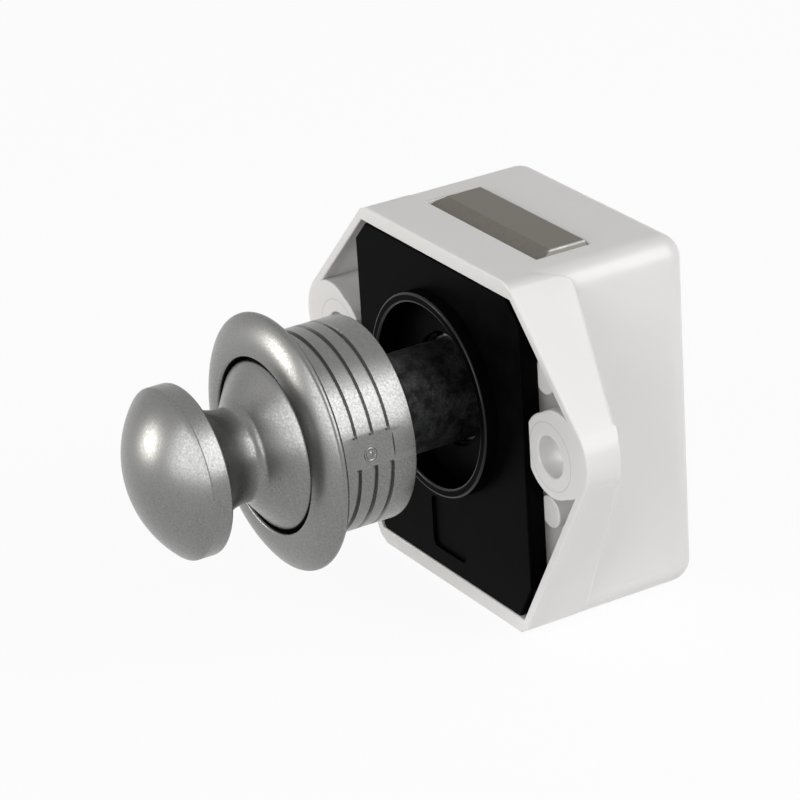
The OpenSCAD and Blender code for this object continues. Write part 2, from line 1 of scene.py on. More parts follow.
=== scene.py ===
import json
import math
import bmesh
import bpy
from mathutils import Euler, Matrix, Vector


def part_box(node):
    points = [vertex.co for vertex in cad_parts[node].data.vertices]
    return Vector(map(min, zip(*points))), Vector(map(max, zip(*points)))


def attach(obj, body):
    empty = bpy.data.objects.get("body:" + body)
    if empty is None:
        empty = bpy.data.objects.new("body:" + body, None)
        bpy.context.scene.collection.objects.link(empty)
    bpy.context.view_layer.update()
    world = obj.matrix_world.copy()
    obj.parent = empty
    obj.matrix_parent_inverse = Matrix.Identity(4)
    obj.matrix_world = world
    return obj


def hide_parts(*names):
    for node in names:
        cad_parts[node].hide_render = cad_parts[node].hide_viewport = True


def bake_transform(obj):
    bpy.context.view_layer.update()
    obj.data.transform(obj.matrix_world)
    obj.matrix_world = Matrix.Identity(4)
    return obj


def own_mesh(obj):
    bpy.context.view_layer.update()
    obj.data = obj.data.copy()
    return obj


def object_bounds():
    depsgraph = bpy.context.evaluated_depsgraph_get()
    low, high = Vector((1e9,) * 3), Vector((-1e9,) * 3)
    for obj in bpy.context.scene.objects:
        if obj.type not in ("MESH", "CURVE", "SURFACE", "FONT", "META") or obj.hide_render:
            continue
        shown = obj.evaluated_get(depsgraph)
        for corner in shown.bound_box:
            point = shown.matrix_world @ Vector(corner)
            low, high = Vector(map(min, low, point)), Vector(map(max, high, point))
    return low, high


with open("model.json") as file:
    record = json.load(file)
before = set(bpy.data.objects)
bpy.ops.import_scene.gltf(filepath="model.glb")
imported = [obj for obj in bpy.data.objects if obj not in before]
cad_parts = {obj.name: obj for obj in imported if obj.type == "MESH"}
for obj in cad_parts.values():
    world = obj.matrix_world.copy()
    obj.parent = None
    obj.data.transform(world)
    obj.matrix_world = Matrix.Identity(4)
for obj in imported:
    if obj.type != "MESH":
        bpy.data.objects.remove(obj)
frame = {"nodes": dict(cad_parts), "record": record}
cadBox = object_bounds()
nodes = frame["nodes"]
record = frame["record"]
scene = bpy.context.scene
mm = 0.001
weld = 0.002 * mm   # points that lie nearer than this are one point
print("packed lock loaded:", len(nodes), "pieces")

# the photograph was taken from the right front with a long lens (place in mm, turn in degrees)
photoCamera = {"place": (383.4, -228.741, 197.799), "turn": (65.979, 3.366, 58.337), "lens": 176.43,
               "sensor": 36.0, "near": 0.01, "far": 20.0}
eye = bpy.data.objects.new("photoCamera", bpy.data.cameras.new("photoCamera"))
scene.collection.objects.link(eye)
eye.location = Vector(photoCamera["place"]) * mm
eye.rotation_euler = Euler([math.radians(a) for a in photoCamera["turn"]], "XYZ")
eye.data.lens = photoCamera["lens"]
eye.data.sensor_width = photoCamera["sensor"]
eye.data.clip_start = photoCamera["near"]
eye.data.clip_end = photoCamera["far"]
scene.camera = eye
scene.view_settings.view_transform = "Standard"
print("camera placed")


def linear(hexText):
    channels = [int(hexText[i:i + 2], 16) / 255 for i in (1, 3, 5)]
    return tuple(c / 12.92 if c <= 0.04045 else ((c + 0.055) / 1.055) ** 2.4 for c in channels) + (1.0,)


# sets a node's sockets, or links them where the value comes from another node
def join(tree, node, inputs):
    for name, value in inputs.items():
        socket = node.inputs[name]
        if isinstance(value, bpy.types.NodeSocket):
            tree.links.new(value, socket)
        else:
            socket.default_value = value


def addNode(tree, kind, settings=None, inputs=None):
    node = tree.nodes.new(kind)
    for name, value in (settings or {}).items():
        setattr(node, name, value)
    join(tree, node, inputs or {})
    return node


# a pattern's size in millimetres becomes a noise scale per metre
def perMetre(size):
    return 1.0 / (size * mm)


def startMaterial(name, surface):
    material = bpy.data.materials.new(name)
    material.use_nodes = True
    tree = material.node_tree
    shader = tree.nodes["Principled BSDF"]
    join(tree, shader, surface)
    place = addNode(tree, "ShaderNodeTexCoord").outputs["Object"]
    return material, tree, shader, place


# cloudy colour between two tones, and the same cloud turned into a range of roughness
def cloud(tree, place, size, detail, low, high, tones, shine=(0.0, 1.0)):
    noise = addNode(tree, "ShaderNodeTexNoise", None,
                    {"Vector": place, "Scale": perMetre(size), "Detail": detail, "Roughness": 0.6})
    amount = addNode(tree, "ShaderNodeMapRange", None,
                     {"Value": noise.outputs["Fac"], "From Min": low, "From Max": high}).outputs["Result"]
    mixed = addNode(tree, "ShaderNodeMix", {"data_type": "RGBA"},
                    {0: amount, 6: linear(tones[0]), 7: linear(tones[1])})
    rough = addNode(tree, "ShaderNodeMapRange", None,
                    {"Value": amount, "To Min": shine[0], "To Max": shine[1]})
    return mixed.outputs[2], rough.outputs["Result"]


# fine relief from a noise of a given size and height in millimetres, laid over an earlier relief
def relief(tree, place, size, height, strength, below=None):
    noise = addNode(tree, "ShaderNodeTexNoise", None,
                    {"Vector": place, "Scale": perMetre(size), "Detail": 3.0, "Roughness": 0.55})
    bump = addNode(tree, "ShaderNodeBump", None,
                   {"Height": noise.outputs["Fac"], "Strength": strength, "Distance": height * mm})
    if below is not None:
        join(tree, bump, {"Normal": below})
    return bump.outputs["Normal"]


# injection moulded ABS from a polished mould: white and glossy, with a faint orange peel, a little light
# under its skin, and the core pin's thin witness ring round each screw hole
screwHoles = next(mount for mount in record["mounts"] if mount["name"] == "screw_holes")
whiteAbs = {"tone": "#DDDBDA", "shade": "#D8D6D5", "shine": (0.25, 0.36), "patch": 11.0, "peel": 2.2,
            "grain": 0.3, "glow": 0.25, "depth": 1.5, "holeX": screwHoles["dims"]["spacing_x_mm"] / 2,
            "ringRadius": 4.4, "ringWidth": 0.13, "ringTone": "#C2C0BF", "faceDepth": 0.3}


def makeWhiteAbs(look):
    material, tree, shader, place = startMaterial("white moulded ABS", {
        "IOR": 1.53, "Subsurface Weight": look["glow"], "Subsurface Radius": (1.0, 0.95, 0.9),
        "Subsurface Scale": look["depth"] * mm})
    tones = (look["tone"], look["shade"])
    colour, rough = cloud(tree, place, look["patch"], 1.0, 0.0, 1.0, tones, look["shine"])
    axes = addNode(tree, "ShaderNodeSeparateXYZ", None, {"Vector": place}).outputs
    side = addNode(tree, "ShaderNodeMath", {"operation": "ABSOLUTE"}, {0: axes["X"]}).outputs[0]
    front = addNode(tree, "ShaderNodeCombineXYZ", None, {"X": side, "Y": axes["Z"]}).outputs[0]
    away = addNode(tree, "ShaderNodeVectorMath", {"operation": "DISTANCE"},
                   {0: front, 1: (look["holeX"] * mm, 0, 0)}).outputs["Value"]
    ring = addNode(tree, "ShaderNodeMath", {"operation": "COMPARE"},
                   {0: away, 1: look["ringRadius"] * mm, 2: look["ringWidth"] / 2 * mm}).outputs[0]
    onFace = addNode(tree, "ShaderNodeMath", {"operation": "LESS_THAN"},
                     {0: axes["Y"], 1: look["faceDepth"] * mm}).outputs[0]
    witness = addNode(tree, "ShaderNodeMath", {"operation": "MULTIPLY"}, {0: ring, 1: onFace}).outputs[0]
    marked = addNode(tree, "ShaderNodeMix", {"data_type": "RGBA"},
                     {0: witness, 6: colour, 7: linear(look["ringTone"])}).outputs[2]
    peel = relief(tree, place, look["peel"], 0.012, 0.35)
    join(tree, shader, {"Base Color": marked, "Roughness": rough,
                        "Normal": relief(tree, place, look["grain"], 0.003, 0.3, peel)})
    return material


# black ABS moulded against an etched tool, so it mirrors little, but the collar's rounded rims are polished
# (rims are radius and y in mm)
blackAbs = {"tone": "#060607", "shade": "#0B0B0C", "shine": (0.34, 0.5), "patch": 5.0, "grain": 0.35,
            "sheen": 0.009, "rims": ((13.3, -2.0), (12.0, -2.0)), "rimSheen": 0.22, "rimWidth": 0.34,
            "rimPolish": 0.14}


def makeBlackAbs(look):
    material, tree, shader, place = startMaterial("black moulded ABS", {"IOR": 1.53})
    tones = (look["tone"], look["shade"])
    colour, rough = cloud(tree, place, look["patch"], 4.0, 0.4, 0.7, tones, look["shine"])
    axes = addNode(tree, "ShaderNodeSeparateXYZ", None, {"Vector": place}).outputs
    ring = addNode(tree, "ShaderNodeCombineXYZ", None, {"X": axes["X"], "Y": axes["Z"]}).outputs[0]
    radius = addNode(tree, "ShaderNodeVectorMath", {"operation": "LENGTH"}, {0: ring}).outputs["Value"]
    section = addNode(tree, "ShaderNodeCombineXYZ", None, {"X": radius, "Y": axes["Y"]}).outputs[0]
    away = [addNode(tree, "ShaderNodeVectorMath", {"operation": "DISTANCE"},
                    {0: section, 1: (r * mm, y * mm, 0)}).outputs["Value"] for r, y in look["rims"]]
    nearest = addNode(tree, "ShaderNodeMath", {"operation": "MINIMUM"}, {0: away[0], 1: away[1]}).outputs[0]
    width = look["rimWidth"] * mm
    rim = addNode(tree, "ShaderNodeMapRange", None,
                  {"Value": nearest, "From Min": width, "From Max": 0.6 * width}).outputs[0]
    sheen = addNode(tree, "ShaderNodeMapRange", None,
                    {"Value": rim, "To Min": look["sheen"], "To Max": look["rimSheen"]}).outputs[0]
    polished = addNode(tree, "ShaderNodeMath", {"operation": "MULTIPLY_ADD"},
                       {0: rim, 1: -look["rimPolish"], 2: rough}).outputs[0]
    join(tree, shader, {"Base Color": colour, "Roughness": polished, "Specular IOR Level": sheen,
                        "Normal": relief(tree, place, look["grain"], 0.006, 0.4)})
    return material


# satin electroplated zinc casting: bright silver with a fine sparkling grain, drawn a little coarse to show
satinSilver = {"tone": "#888887", "shade": "#767675", "shine": (0.37, 0.26), "grain": 0.26, "waves": 3.0}


def makeSatinSilver(look):
    material, tree, shader, place = startMaterial("satin plated silver", {"Metallic": 1.0})
    tones = (look["shade"], look["tone"])
    colour, rough = cloud(tree, place, look["grain"], 2.0, 0.3, 0.7, tones, look["shine"])
    waves = relief(tree, place, look["waves"], 0.02, 0.25)
    join(tree, shader, {"Base Color": colour, "Roughness": rough,
                        "Normal": relief(tree, place, look["grain"], 0.01, 0.5, waves)})
    return material


# zinc casting blackened by chemical passivation: dark and mottled, with grey rubbed clouds and a fine speckle
blackenedZinc = {"tone": "#121315", "shade": "#66696D", "metal": 0.55, "shine": (0.52, 0.34), "blotch": 2.1,
                 "speckle": 0.28, "speckleTones": ("#5D6672", "#FFF4DF"), "speckleShare": 0.8, "pits": 0.45}


def makeBlackenedZinc(look):
    material, tree, shader, place = startMaterial("blackened zinc casting", {"Metallic": look["metal"]})
    tones = (look["tone"], look["shade"])
    colour, rough = cloud(tree, place, look["blotch"], 9.0, 0.4, 0.66, tones, look["shine"])
    speckle = cloud(tree, place, look["speckle"], 3.0, 0.35, 0.7, look["speckleTones"])[0]
    tinted = addNode(tree, "ShaderNodeMix", {"data_type": "RGBA", "blend_type": "MULTIPLY"},
                     {0: look["speckleShare"], 6: colour, 7: speckle}).outputs[2]
    join(tree, shader, {"Base Color": tinted, "Roughness": rough,
                        "Normal": relief(tree, place, look["pits"], 0.05, 0.8)})
    return material


# dull zinc casting, with thin light lines along the ends and the rear edge of its top: partly metal rubbed
# bare in the strike, partly a painted glint along those edges
dullZinc = {"tone": "#67645C", "shade": "#78746A", "metal": 0.8, "shine": (0.36, 0.54), "grain": 0.6,
            "pits": 0.35, "bare": "#B4B5B4", "line": 0.22, "rubAndGlintPatch": 1.4, "rubAndGlintRange": (0.1, 1.5)}


def makeDullZinc(look, topCorners):
    material, tree, shader, place = startMaterial("dull zinc casting", {"Metallic": look["metal"]})
    tones = (look["tone"], look["shade"])
    colour, rough = cloud(tree, place, look["grain"], 6.0, 0.3, 0.75, tones, look["shine"])
    axes = addNode(tree, "ShaderNodeSeparateXYZ", None, {"Vector": place}).outputs
    side = addNode(tree, "ShaderNodeMath", {"operation": "ABSOLUTE"}, {0: axes["X"]}).outputs[0]
    line = look["line"] * mm
    end, rear, top = max(p.x for p in topCorners), max(p.y for p in topCorners), topCorners[0].z
    # light lines at the top's end and rear edges: rubbed-bare metal together with a painted edge glint,
    # patchy along their length
    borders = [addNode(tree, "ShaderNodeMapRange", None,
                       {"Value": value, "From Min": edge - line, "From Max": edge}).outputs[0]
               for value, edge in ((side, end), (axes["Y"], rear))]
    either = addNode(tree, "ShaderNodeMath", {"operation": "MAXIMUM"},
                     {0: borders[0], 1: borders[1]}).outputs[0]
    high = addNode(tree, "ShaderNodeMapRange", None,
                   {"Value": axes["Z"], "From Min": top - 1.1 * line,
                    "From Max": top - 0.4 * line}).outputs[0]
    patchy = addNode(tree, "ShaderNodeTexNoise", None,
                     {"Vector": place, "Scale": perMetre(look["rubAndGlintPatch"]), "Detail": 3.0}).outputs["Fac"]
    least, most = look["rubAndGlintRange"]
    uneven = addNode(tree, "ShaderNodeMapRange", None,
                     {"Value": patchy, "To Min": least, "To Max": most}).outputs[0]
    rubAndGlintEdges = addNode(tree, "ShaderNodeMath", {"operation": "MULTIPLY"}, {0: either, 1: high}).outputs[0]
    rubAndGlint = addNode(tree, "ShaderNodeMath", {"operation": "MULTIPLY", "use_clamp": True},
                   {0: rubAndGlintEdges, 1: uneven}).outputs[0]
    rubbedAndGlinting = addNode(tree, "ShaderNodeMix", {"data_type": "RGBA"},
                   {0: rubAndGlint, 6: colour, 7: linear(look["bare"])}).outputs[2]
    join(tree, shader, {"Base Color": rubbedAndGlinting, "Roughness": rough,
                        "Normal": relief(tree, place, look["pits"], 0.02, 0.5)})
    return material


# natural acetal: milky, slightly waxy moulded plastic, for the slide that is hidden in the body
acetal = {"tones": ("#E4E2D8", "#DAD8CC"), "shine": (0.38, 0.5), "patch": 4.0, "grain": 0.4, "glow": 0.1,
          "depth": 0.8}


def makeAcetal(look):
    material, tree, shader, place = startMaterial("natural acetal", {
        "IOR": 1.48, "Subsurface Weight": look["glow"], "Subsurface Scale": look["depth"] * mm})
    colour, rough = cloud(tree, place, look["patch"], 2.0, 0.35, 0.65, look["tones"], look["shine"])
    join(tree, shader, {"Base Color": colour, "Roughness": rough,
                        "Normal": relief(tree, place, look["grain"], 0.006, 0.4)})
    return material


# drawn spring steel: bright grey wire with the die's fine marks
springSteel = {"tones": ("#A7A9AB", "#8B8D8F"), "shine": (0.24, 0.38), "patch": 0.5, "marks": 0.12}
# turned brass for the knob's insert, slightly tarnished by handling
turnedBrass = {"tones": ("#C9A45C", "#A9853F"), "shine": (0.22, 0.4), "patch": 1.2, "marks": 0.2}


def makeWireOrBrass(name, look):
    material, tree, shader, place = startMaterial(name, {"Metallic": 1.0})
    colour, rough = cloud(tree, place, look["patch"], 3.0, 0.3, 0.7, look["tones"], look["shine"])
    join(tree, shader, {"Base Color": colour, "Roughness": rough,
                        "Normal": relief(tree, place, look["marks"], 0.004, 0.4)})
    return material


# the corners of the bolt's flat top
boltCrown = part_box("latch_bolt")[1].z
boltTop = [v.co for v in nodes["latch_bolt"].data.vertices if v.co.z > boltCrown - 0.01 * mm]
finish = {
    "white_abs": makeWhiteAbs(whiteAbs),
    "black_abs": makeBlackAbs(blackAbs),
    "satin_chrome": makeSatinSilver(satinSilver),
    "spindle_zinc": makeBlackenedZinc(blackenedZinc),
    "bolt_zinc": makeDullZinc(dullZinc, boltTop),
    "acetal": makeAcetal(acetal),
    "spring_steel": makeWireOrBrass("drawn spring steel", springSteel),
    "brass": makeWireOrBrass("turned brass", turnedBrass),
}
slotOf = {part["node"]: part["material_slot"] for part in record["subparts"]}
for name, node in nodes.items():
    node.data.materials.clear()
    node.data.materials.append(finish[slotOf[name]])
print("materials made")


def addPiece(name, mesh, body, source):
    piece = bpy.data.objects.new(name, mesh)
    scene.collection.objects.link(piece)
    if not mesh.materials:
        mesh.materials.append(finish[slotOf[source]])
    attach(piece, body)
    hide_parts(source)
    return piece


# a moulded or cast piece with its sharp outer edges softened, as tools leave them; each round is
# (radius, steps, shortest edge, where) in mm
def softenedCopy(source, name, body, angle, rounds):
    shape = bmesh.new()
    shape.from_mesh(nodes[source].data)
    bmesh.ops.remove_doubles(shape, verts=shape.verts, dist=weld)
    bmesh.ops.dissolve_limit(shape, angle_limit=math.radians(0.8), verts=shape.verts, edges=shape.edges)
    for radius, steps, shortest, where in rounds:
        sharp = [e for e in shape.edges if e.is_manifold and e.calc_length() > shortest * mm
                 and e.calc_face_angle_signed() > math.radians(angle)
                 and where(sum((v.co for v in e.verts), Vector()) / 2 / mm)]
        bmesh.ops.bevel(shape, geom=sharp, offset=radius * mm, offset_type="OFFSET", segments=steps,
                        profile=0.5, affect="EDGES", clamp_overlap=False, miter_outer="ARC")
        print(name, "rounded by", radius, "mm on", len(sharp), "edges")
    mesh = bpy.data.meshes.new(name)
    shape.to_mesh(mesh)
    shape.free()
    mesh.shade_smooth()
    mesh.set_sharp_from_angle(angle=math.radians(38))
    piece = addPiece(name, mesh, body, source)
    weighted = piece.modifiers.new("evenShading", "WEIGHTED_NORMAL")
    weighted.keep_sharp = True
    print(name, "has", len(mesh.polygons), "faces")


# the cover's rounds differ by place: the rim's outer corners beside the box, the ears' rear borders, and
# whatever else lies on its front part or round the slot in its top (mm)
coverEdges = {"angle": 30, "cornerX": (16.3, 17.0), "cornerY": (1.0, 6.0), "cornerZ": (-26.5, 19.3),
              "earX": 18.3, "earY": (5.0, 9.0), "frontPart": 9.3, "slotTop": 19.0}


def coverRounds(look):
    def atRimCorner(p):
        beside = look["cornerX"][0] < abs(p.x) < look["cornerX"][1]
        deep = look["cornerY"][0] < p.y < look["cornerY"][1]
        return beside and deep and not look["cornerZ"][0] < p.z < look["cornerZ"][1]

    def onEarBorder(p):
        return abs(p.x) > look["earX"] and look["earY"][0] < p.y

    def elsewhere(p):
        return p.y < look["frontPart"] and not onEarBorder(p) or p.z > look["slotTop"]

    return ((1.0, 1, 3.0, atRimCorner),
            (0.6, 3, 3.0, lambda p: onEarBorder(p) and p.y < look["earY"][1]),
            (0.22, 3, 0.25, elsewhere))


softenedCopy("cover", "moulded_cover", "lock_body", coverEdges["angle"], coverRounds(coverEdges))

# the plate: first the collar's rims in front of its face, then its outline and the sunken field
plateEdges = {"angle": 30, "rimFront": -1.9, "faceY": (-1.0, 2.4)}
softenedCopy("base_plate", "closing_plate", "lock_body", plateEdges["angle"], (
    (0.3, 3, 0.2, lambda p: p.y < plateEdges["rimFront"]),
    (0.16, 3, 0.25, lambda p: plateEdges["faceY"][0] < p.y < plateEdges["faceY"][1])))

# the bolt: only its nose, from this height up
boltEdges = {"angle": 20, "noseZ": 17.0}
softenedCopy("latch_bolt", "cast_bolt", "bolt", boltEdges["angle"], (
    (0.09, 3, 0.4, lambda p: p.z > boltEdges["noseZ"]),))


def addInput(tree, name, kind, value):
    socket = tree.interface.new_socket(name, in_out="INPUT", socket_type=kind)
    if value is not None:
        socket.default_value = value


# turns a line of (radius, y) points round the spindle's axis, cuts friction grooves and flattens the gate pad
def makeTurningTree():
    tree = bpy.data.node_groups.new("turned on the spindle axis", "GeometryNodeTree")
    for name, kind, value in (
            ("Profile", "NodeSocketGeometry", None), ("Segments", "NodeSocketInt", 240),
            ("Barrel Radius", "NodeSocketFloat", 0.013), ("Groove Count", "NodeSocketInt", 3),
            ("First Groove", "NodeSocketFloat", 0.0), ("Groove Pitch", "NodeSocketFloat", 0.0023),
            ("Groove Width", "NodeSocketFloat", 0.0005), ("Groove Depth", "NodeSocketFloat", 0.0),
            ("Pad Width", "NodeSocketFloat", 0.004), ("Pad Turn", "NodeSocketFloat", 0.0),
            ("Pad Start", "NodeSocketFloat", 0.0), ("Pad End", "NodeSocketFloat", 0.0),
            ("Seam Turn", "NodeSocketFloat", 0.0), ("Seam Height", "NodeSocketFloat", 0.0),
            ("Finish", "NodeSocketMaterial", None)):
        addInput(tree, name, kind, value)
    tree.interface.new_socket("Geometry", in_out="OUTPUT", socket_type="NodeSocketGeometry")
    given = addNode(tree, "NodeGroupInput").outputs
    known = {socket.name: socket for socket in given if socket.name}
    known["rows"] = addNode(tree, "GeometryNodeAttributeDomainSize", {"component": "MESH"},
                            {"Geometry": given["Profile"]}).outputs["Point Count"]
    known["index"] = addNode(tree, "GeometryNodeInputIndex").outputs[0]
    # each row of a rule: what it works out, the operation, and the numbers or earlier results that it takes
    gridRule = (
        ("columns", "ADD", "Segments", 1.0), ("halfOn", "ADD", "index", 0.5),
        ("share", "DIVIDE", "halfOn", "rows"), ("column", "FLOOR", "share"),
        ("before", "MULTIPLY", "column", "rows"), ("row", "SUBTRACT", "index", "before"),
        ("turns", "DIVIDE", "column", "Segments"), ("turn", "MULTIPLY", "turns", 2 * math.pi))
    for result, operation, *terms in gridRule:
        known[result] = addNode(tree, "ShaderNodeMath", {"operation": operation},
                                {i: known.get(term, term) for i, term in enumerate(terms)}).outputs[0]
    sheet = addNode(tree, "GeometryNodeMeshGrid", None,
                    {"Vertices X": known["columns"], "Vertices Y": known["rows"]}).outputs["Mesh"]
    taken = addNode(tree, "GeometryNodeSampleIndex", {"data_type": "FLOAT_VECTOR", "domain": "POINT"},
                    {"Geometry": given["Profile"], "Index": known["row"]})
    spot = addNode(tree, "GeometryNodeInputPosition").outputs[0]
    tree.links.new(spot, next(s for s in taken.inputs if s.name == "Value" and s.enabled))
    point = addNode(tree, "ShaderNodeSeparateXYZ", None, {0: next(s for s in taken.outputs if s.enabled)})
    known["radius"], known["along"] = point.outputs[0], point.outputs[1]
    wallRule = (
        # only the outer wall of the barrel takes the grooves, the pad and the seam
        ("outside", "COMPARE", "radius", "Barrel Radius", 0.05 * mm),
        ("fromFirst", "SUBTRACT", "along", "First Groove"),
        ("pitches", "DIVIDE", "fromFirst", "Groove Pitch"),
        ("nearest", "ROUND", "pitches"), ("last", "SUBTRACT", "Groove Count", 1.0),
        ("notBefore", "MAXIMUM", "nearest", 0.0), ("number", "MINIMUM", "notBefore", "last"),
        ("middle", "MULTIPLY_ADD", "number", "Groove Pitch", "First Groove"),
        ("fromMiddle", "SUBTRACT", "along", "middle"), ("gap", "ABSOLUTE", "fromMiddle"),
        ("halfGroove", "MULTIPLY", "Groove Width", 0.5), ("inGroove", "LESS_THAN", "gap", "halfGroove"),
        # the pad is a chord across the barrel, and the grooves stop at its sides
        ("fromPad", "SUBTRACT", "turn", "Pad Turn"), ("padWrapped", "WRAP", "fromPad", math.pi, -math.pi),
        ("offPad", "ABSOLUTE", "padWrapped"), ("halfWidth", "MULTIPLY", "Pad Width", 0.5),
        ("padSine", "DIVIDE", "halfWidth", "Barrel Radius"), ("halfPad", "ARCSINE", "padSine"),
        ("padSide", "MULTIPLY", "halfPad", 0.97), ("clear", "GREATER_THAN", "offPad", "padSide"),
        ("open", "MULTIPLY", "inGroove", "clear"), ("cut", "MULTIPLY", "open", "outside"),
        ("depth", "MULTIPLY", "cut", "Groove Depth"), ("grooved", "SUBTRACT", "radius", "depth"),
        ("padCosine", "COSINE", "halfPad"), ("padMiddle", "MULTIPLY", "Barrel Radius", "padCosine"),
        ("near", "MINIMUM", "offPad", 1.0), ("nearCosine", "COSINE", "near"),
        ("flat", "DIVIDE", "padMiddle", "nearCosine"),
        ("afterStart", "GREATER_THAN", "along", "Pad Start"), ("beforeEnd", "LESS_THAN", "along", "Pad End"),
        ("inLength", "MULTIPLY", "afterStart", "beforeEnd"), ("inWidth", "LESS_THAN", "offPad", "halfPad"),
        ("onFace", "MULTIPLY", "outside", "inWidth"), ("onPad", "MULTIPLY", "inLength", "onFace"),
        ("lower", "MINIMUM", "flat", "grooved"), ("drop", "SUBTRACT", "lower", "grooved"),
        ("padded", "MULTIPLY_ADD", "onPad", "drop", "grooved"),
        # the mould's parting line stands up by one row of points
        ("fromSeam", "SUBTRACT", "turn", "Seam Turn"), ("seamWrapped", "WRAP", "fromSeam", math.pi, -math.pi),
        ("offSeam", "ABSOLUTE", "seamWrapped"), ("halfSeam", "DIVIDE", math.pi * 1.02, "Segments"),
        ("atSeam", "LESS_THAN", "offSeam", "halfSeam"), ("seam", "MULTIPLY", "atSeam", "outside"),
        ("final", "MULTIPLY_ADD", "seam", "Seam Height", "padded"),
        ("cosine", "COSINE", "turn"), ("sine", "SINE", "turn"),
        ("x", "MULTIPLY", "final", "cosine"), ("z", "MULTIPLY", "final", "sine"))
    for result, operation, *terms in wallRule:
        known[result] = addNode(tree, "ShaderNodeMath", {"operation": operation},
                                {i: known.get(term, term) for i, term in enumerate(terms)}).outputs[0]
    place = addNode(tree, "ShaderNodeCombineXYZ", None,
                    {0: known["x"], 1: known["along"], 2: known["z"]}).outputs[0]
    turned = addNode(tree, "GeometryNodeSetPosition", None, {"Geometry": sheet, "Position": place}).outputs[0]
    closed = addNode(tree, "GeometryNodeMergeByDistance", None,
                     {"Geometry": turned, "Distance": weld}).outputs[0]
    real = addNode(tree, "GeometryNodeRealizeInstances", None, {"Geometry": closed}).outputs[0]
    done = addNode(tree, "GeometryNodeSetMaterial", None,
                   {"Geometry": real, "Material": given["Finish"]}).outputs[0]
    addNode(tree, "NodeGroupOutput", None, {"Geometry": done})
    return tree


# runs a tree on a start mesh and gives back a plain mesh with its faces outwards
def grow(name, startMesh, tree, values):
    holder = bpy.data.objects.new(name + "_start", startMesh)
    scene.collection.objects.link(holder)
    modifier = holder.modifiers.new("grow", "NODES")
    modifier.node_group = tree
    for socket in tree.interface.items_tree:
        if socket.item_type == "SOCKET" and socket.in_out == "INPUT" and socket.name in values:
            modifier[socket.identifier] = values[socket.name]
    bpy.context.view_layer.update()
    ready = holder.evaluated_get(bpy.context.evaluated_depsgraph_get())
    mesh = bpy.data.meshes.new_from_object(ready)
    holder.modifiers.clear()
    bpy.data.objects.remove(holder)
    mesh.name = name
    shape = bmesh.new()
    shape.from_mesh(mesh)
    bmesh.ops.recalc_face_normals(shape, faces=shape.faces)
    shape.to_mesh(mesh)
    shape.free()
    mesh.shade_smooth()
    return mesh


def lineMesh(name, points):
    mesh = bpy.data.meshes.new(name)
    edges = [(i, i + 1) for i in range(len(points) - 1)]
    mesh.from_pydata([(r * mm, y * mm, 0.0) for r, y in points], edges, [])
    return mesh


# points on a round stretch of a profile, with its turns in degrees
def arcPoints(r, y, size, start, end, count):
    turns = [math.radians(start + (end - start) * i / count) for i in range(count + 1)]
    return [(r + size * math.cos(a), y + size * math.sin(a)) for a in turns]


turning = makeTurningTree()

# the rosette: thin domed flange, grooved barrel and the web that rides on the spindle (radius, y in mm)
rosetteLook = {"flangeBack": -22.9, "flangeRadius": 16.35, "flangeHeight": 2.6, "bow": 0.45, "rimRound": 0.6,
               "lip": 0.3, "mouthRadius": 11.2, "barrelRadius": 13.0, "barrelEnd": -11.45, "endRound": 0.3,
               "footRound": 0.25, "mouthBevel": 0.15, "firstGroove": -19.7, "groovePitch": 2.3,
               "grooveCount": 3, "grooveWidth": 0.5, "grooveDepth": 0.4, "grooveSlope": (0.08, 0.12),
               "padWidth": 4.2, "padTurn": 8.0, "padBefore": 0.12, "padAfter": 0.25, "seamTurn": -2.0,
               "seamHeight": 0.05, "webFront": -15.9, "webThickness": 1.5, "webHole": 6.8}


def rosetteProfile(look):
    back, edge, lip = look["flangeBack"], look["rimRound"], look["lip"]
    inner, barrel, barrelEnd = look["mouthRadius"], look["barrelRadius"], look["barrelEnd"]
    mouth = back - look["flangeHeight"]
    rim = arcPoints(look["flangeRadius"] - edge, back - edge, edge, 90, -45, 14)
    # the flange's face is a shallow bow from the rim to the lip
    start, end = Vector(rim[-1]), Vector((inner + lip, mouth))
    chord = end - start
    size = chord.length ** 2 / (8 * look["bow"]) + look["bow"] / 2
    outward = Vector((-chord.y, chord.x)).normalized()
    middle = (start + end) / 2 - outward * (size - look["bow"])
    half = math.degrees(math.asin(chord.length / 2 / size))
    lead = math.degrees(math.atan2(outward.y, outward.x))
    face = arcPoints(middle.x, middle.y, size, lead + half, lead - half, 20)[1:]
    lipRound = arcPoints(inner + lip, mouth + lip, lip, -90, -180, 5)
    foot = look["footRound"]
    footRound = arcPoints(barrel + foot, back + foot, foot, 180, 270, 4)
    # the barrel's wall, with a point on both ends of the slopes at each groove's sides
    halfWidth, (before, after) = look["grooveWidth"] / 2, look["grooveSlope"]
    first, pitch = look["firstGroove"], look["groovePitch"]
    last = first + (look["grooveCount"] - 1) * pitch
    wall = [(barrel, first - 1.2)]
    for i in range(look["grooveCount"]):
        groove = first + i * pitch
        wall += [(barrel, groove - halfWidth - before), (barrel, groove - halfWidth + after),
                 (barrel, groove + halfWidth - after), (barrel, groove + halfWidth + before)]
    wall += [(barrel, last + halfWidth + 0.22), (barrel, last + halfWidth + 0.3)]
    endRound = arcPoints(barrel - look["endRound"], barrelEnd - look["endRound"], look["endRound"], 0, 90, 5)
    bevel, webFront, hole = look["mouthBevel"], look["webFront"], look["webHole"]
    webBack = webFront + look["webThickness"]
    return ([(inner, webFront), (inner, mouth + lip + 0.05)] + lipRound[::-1] + face[::-1] + rim[::-1]
            + footRound[::-1] + wall + endRound
            + [(inner + bevel, barrelEnd), (inner, barrelEnd - bevel), (inner, webBack),
               (hole, webBack), (hole, webFront), (inner, webFront)])


